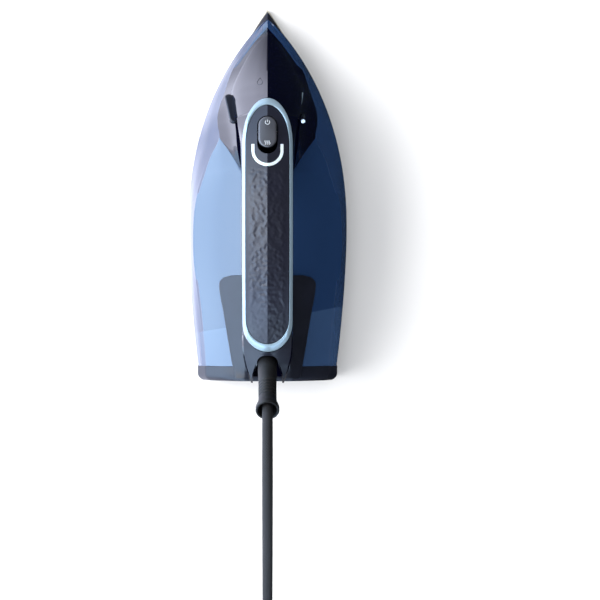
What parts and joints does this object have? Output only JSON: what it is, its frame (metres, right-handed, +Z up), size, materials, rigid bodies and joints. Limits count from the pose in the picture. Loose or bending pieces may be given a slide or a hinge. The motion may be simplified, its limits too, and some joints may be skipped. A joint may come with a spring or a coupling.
{
  "type": "clothes iron",
  "caption": "Steam iron with a tinted water tank, hinged nose filling door, open handle with rocker and trigger, and a swivelling cord guard with its coiled mains lead.",
  "frame": {"origin": "on the ironing plane, halfway between the nose tip and the heel, on the centre line", "axes": "+Y towards the nose, +X to the iron's right seen from behind it, +Z up from the ironing plane"},
  "size_m": [0.1689, 0.7341, 0.1946],
  "materials": {
    "sole": "anodised, satin",
    "aluminium": "as cast",
    "steel": "bright",
    "brass": "bright",
    "skirt": "satin, heat resistant",
    "tank": "clear tinted plastic",
    "navy": "high gloss",
    "cover": "fine texture",
    "ring": "satin metallic",
    "grip": "soft touch, triangular texture",
    "button": "satin",
    "light": "diffuse lens",
    "rubber": "satin",
    "braid": "woven textile sleeve",
    "board": "solder mask",
    "white": "moulded"
  },
  "bodies": {
    "iron": {"soleplate": "sole", "heater_casting": "aluminium", "heating_element": "steel", "steam_chamber_cover": "aluminium", "temperature_sensor": "steel", "thermal_fuse": "steel", "skirt": "skirt", "tank_shell": "tank", "tank_floor": "white", "dosing_valve": "brass", "collar": "navy", "door_hinge_pin": "steel", "inlet_neck": "white", "handle_body": "navy", "handle_ring": "ring", "grip_pad": "grip", "status_light": "light", "rocker_pin": "steel", "control_board": "board", "terminal_block": "white", "cord_clamp": "white", "steam_pump": "white", "suction_tube": "white", "trigger_pin": "steel", "rear_cover": "cover", "heel_rest": "cover", "heel_screw_left": "steel", "heel_screw_right": "steel", "cord_coil": "braid", "cord_run": "braid", "cord_tail": "braid", "plug_body": "rubber", "plug_pin_1": "brass", "plug_pin_2": "brass"},
    "filling_door": {"filling_door": "navy", "door_tab": "cover"},
    "mode_rocker": {"mode_rocker": "button"},
    "steam_trigger": {"steam_trigger": "button"},
    "cord_guard": {"cord_guard": "rubber", "cord_lead": "braid"}
  },
  "joints": [
    {"name": "door_hinge", "type": "hinge", "parent": "iron", "child": "filling_door", "pos_m": [0.028, 0.0545, 0.0915], "axis": [0, 0.5, -0.866], "range_deg": [0, 75]},
    {"name": "rocker_tilt", "type": "hinge", "parent": "iron", "child": "mode_rocker", "pos_m": [0, 0.039, 0.138], "axis": [1, 0, 0], "range_deg": [-2.5, 2.5], "stiffness_Nm_per_rad": 0.15},
    {"name": "trigger_pull", "type": "hinge", "parent": "iron", "child": "steam_trigger", "pos_m": [0, 0.02, 0.118], "axis": [1, 0, 0], "range_deg": [-6, 0], "stiffness_Nm_per_rad": 0.2, "springref_deg": 2.86},
    {"name": "guard_swing", "type": "hinge", "parent": "iron", "child": "cord_guard", "pos_m": [0, -0.1323, 0.1049], "axis": [1, 0, 0], "range_deg": [-6, 34]}
  ]
}
